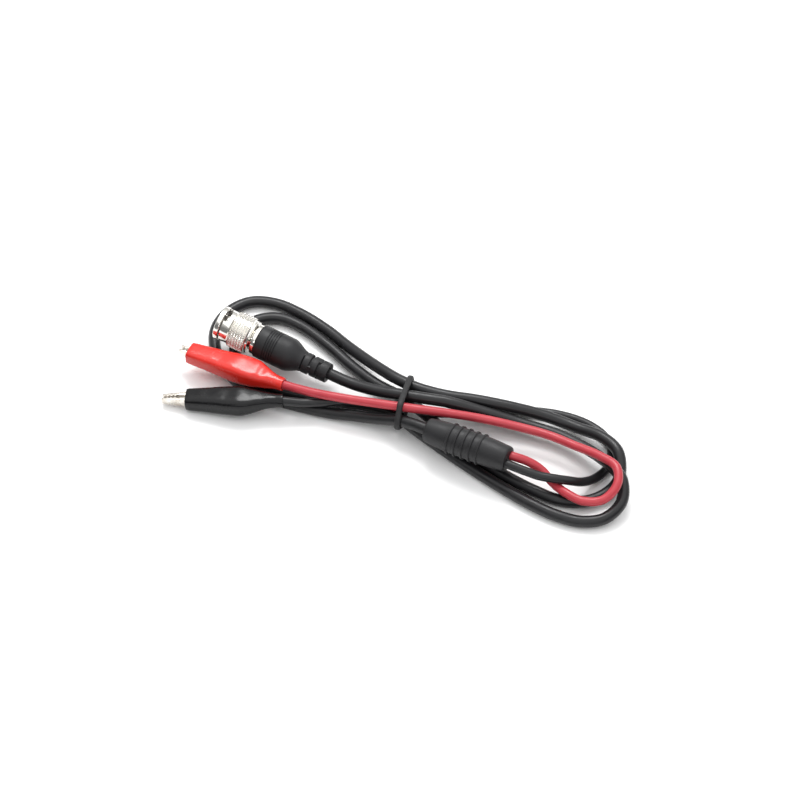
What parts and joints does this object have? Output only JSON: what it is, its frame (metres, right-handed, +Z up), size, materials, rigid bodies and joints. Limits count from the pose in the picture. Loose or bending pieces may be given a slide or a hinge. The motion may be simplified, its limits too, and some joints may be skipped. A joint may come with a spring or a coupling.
{
  "type": "test lead",
  "caption": "Test lead: a bayonet coaxial plug on a thin cable that splits into a red and a black lead with booted crocodile clips, folded into a flat tied hank.",
  "frame": {"origin": "on the surface it lies on, under the middle of the tied hank", "axes": "+X along the hank, from the clips and the plug to the far loops; +Y across it, from the black clip's side to the outer loop; +Z up"},
  "size_m": [0.1828, 0.0651, 0.0198],
  "materials": {
    "nickel": "bright nickel plate, polished with a knurled band",
    "jaw_steel": "nickel-plated sheet steel",
    "gold": "gold flash",
    "tinned_copper": "tinned stranded copper",
    "white_insulation": "smooth",
    "black_pvc": "satin moulded PVC",
    "black_boot": "glossy soft PVC",
    "red_boot": "glossy soft PVC",
    "red_wire": "satin PVC",
    "sleeve": "matte",
    "rubber": "matte"
  },
  "bodies": {
    "root": {"plug_body": "nickel", "wave_washer": "nickel", "plug_gasket": "rubber", "plug_insulator": "white_insulation", "centre_pin": "gold", "plug_dielectric": "white_insulation", "crimp_ferrule": "nickel", "plug_boot": "black_pvc", "coax_cable": "black_pvc", "splitter_body": "black_pvc", "splitter_dielectric": "white_insulation", "coax_core_tail": "tinned_copper", "coax_braid_tail": "tinned_copper", "red_splice_sleeve": "sleeve", "black_splice_sleeve": "sleeve", "red_lead": "red_wire", "black_lead": "black_pvc", "tie_ring": "rubber", "red_fixed_jaw": "jaw_steel", "red_rivet": "jaw_steel", "red_spring": "jaw_steel", "red_clip_boot": "red_boot", "red_wire_end": "tinned_copper", "black_fixed_jaw": "jaw_steel", "black_rivet": "jaw_steel", "black_spring": "jaw_steel", "black_clip_boot": "black_boot", "black_wire_end": "tinned_copper"},
    "plug_thrust": {"thrust_washer": "nickel"},
    "plug_coupling": {"coupling_nut": "nickel"},
    "red_jaw": {"red_moving_jaw": "jaw_steel"},
    "black_jaw": {"black_moving_jaw": "jaw_steel"}
  },
  "joints": [
    {"name": "nut_slide", "type": "slide", "parent": "root", "child": "plug_thrust", "axis": [-0.9924, 0.0314, 0.1193], "range_m": [0, 0.0007], "stiffness_N_per_m": 2000, "springref_m": -0.0005, "deforming": ["wave_washer"]},
    {"name": "nut_spin", "type": "hinge", "parent": "plug_thrust", "child": "plug_coupling", "pos_m": [-0.07459, 0.00426, 0.01239], "axis": [-0.9924, 0.0314, 0.1193], "continuous": true},
    {"name": "red_jaw_hinge", "type": "hinge", "parent": "root", "child": "red_jaw", "pos_m": [-0.06491, -0.01064, 0.00898], "axis": [0.025, 0.0001, -0.9997], "range_deg": [0, 16], "stiffness_Nm_per_rad": 0.05, "springref_deg": -5.73, "deforming": ["red_spring", "red_clip_boot"]},
    {"name": "black_jaw_hinge", "type": "hinge", "parent": "root", "child": "black_jaw", "pos_m": [-0.06385, -0.02307, 0.0055], "axis": [-0.111, -0.0362, 0.9932], "range_deg": [0, 16], "stiffness_Nm_per_rad": 0.05, "springref_deg": -5.73, "deforming": ["black_spring", "black_clip_boot"]}
  ]
}
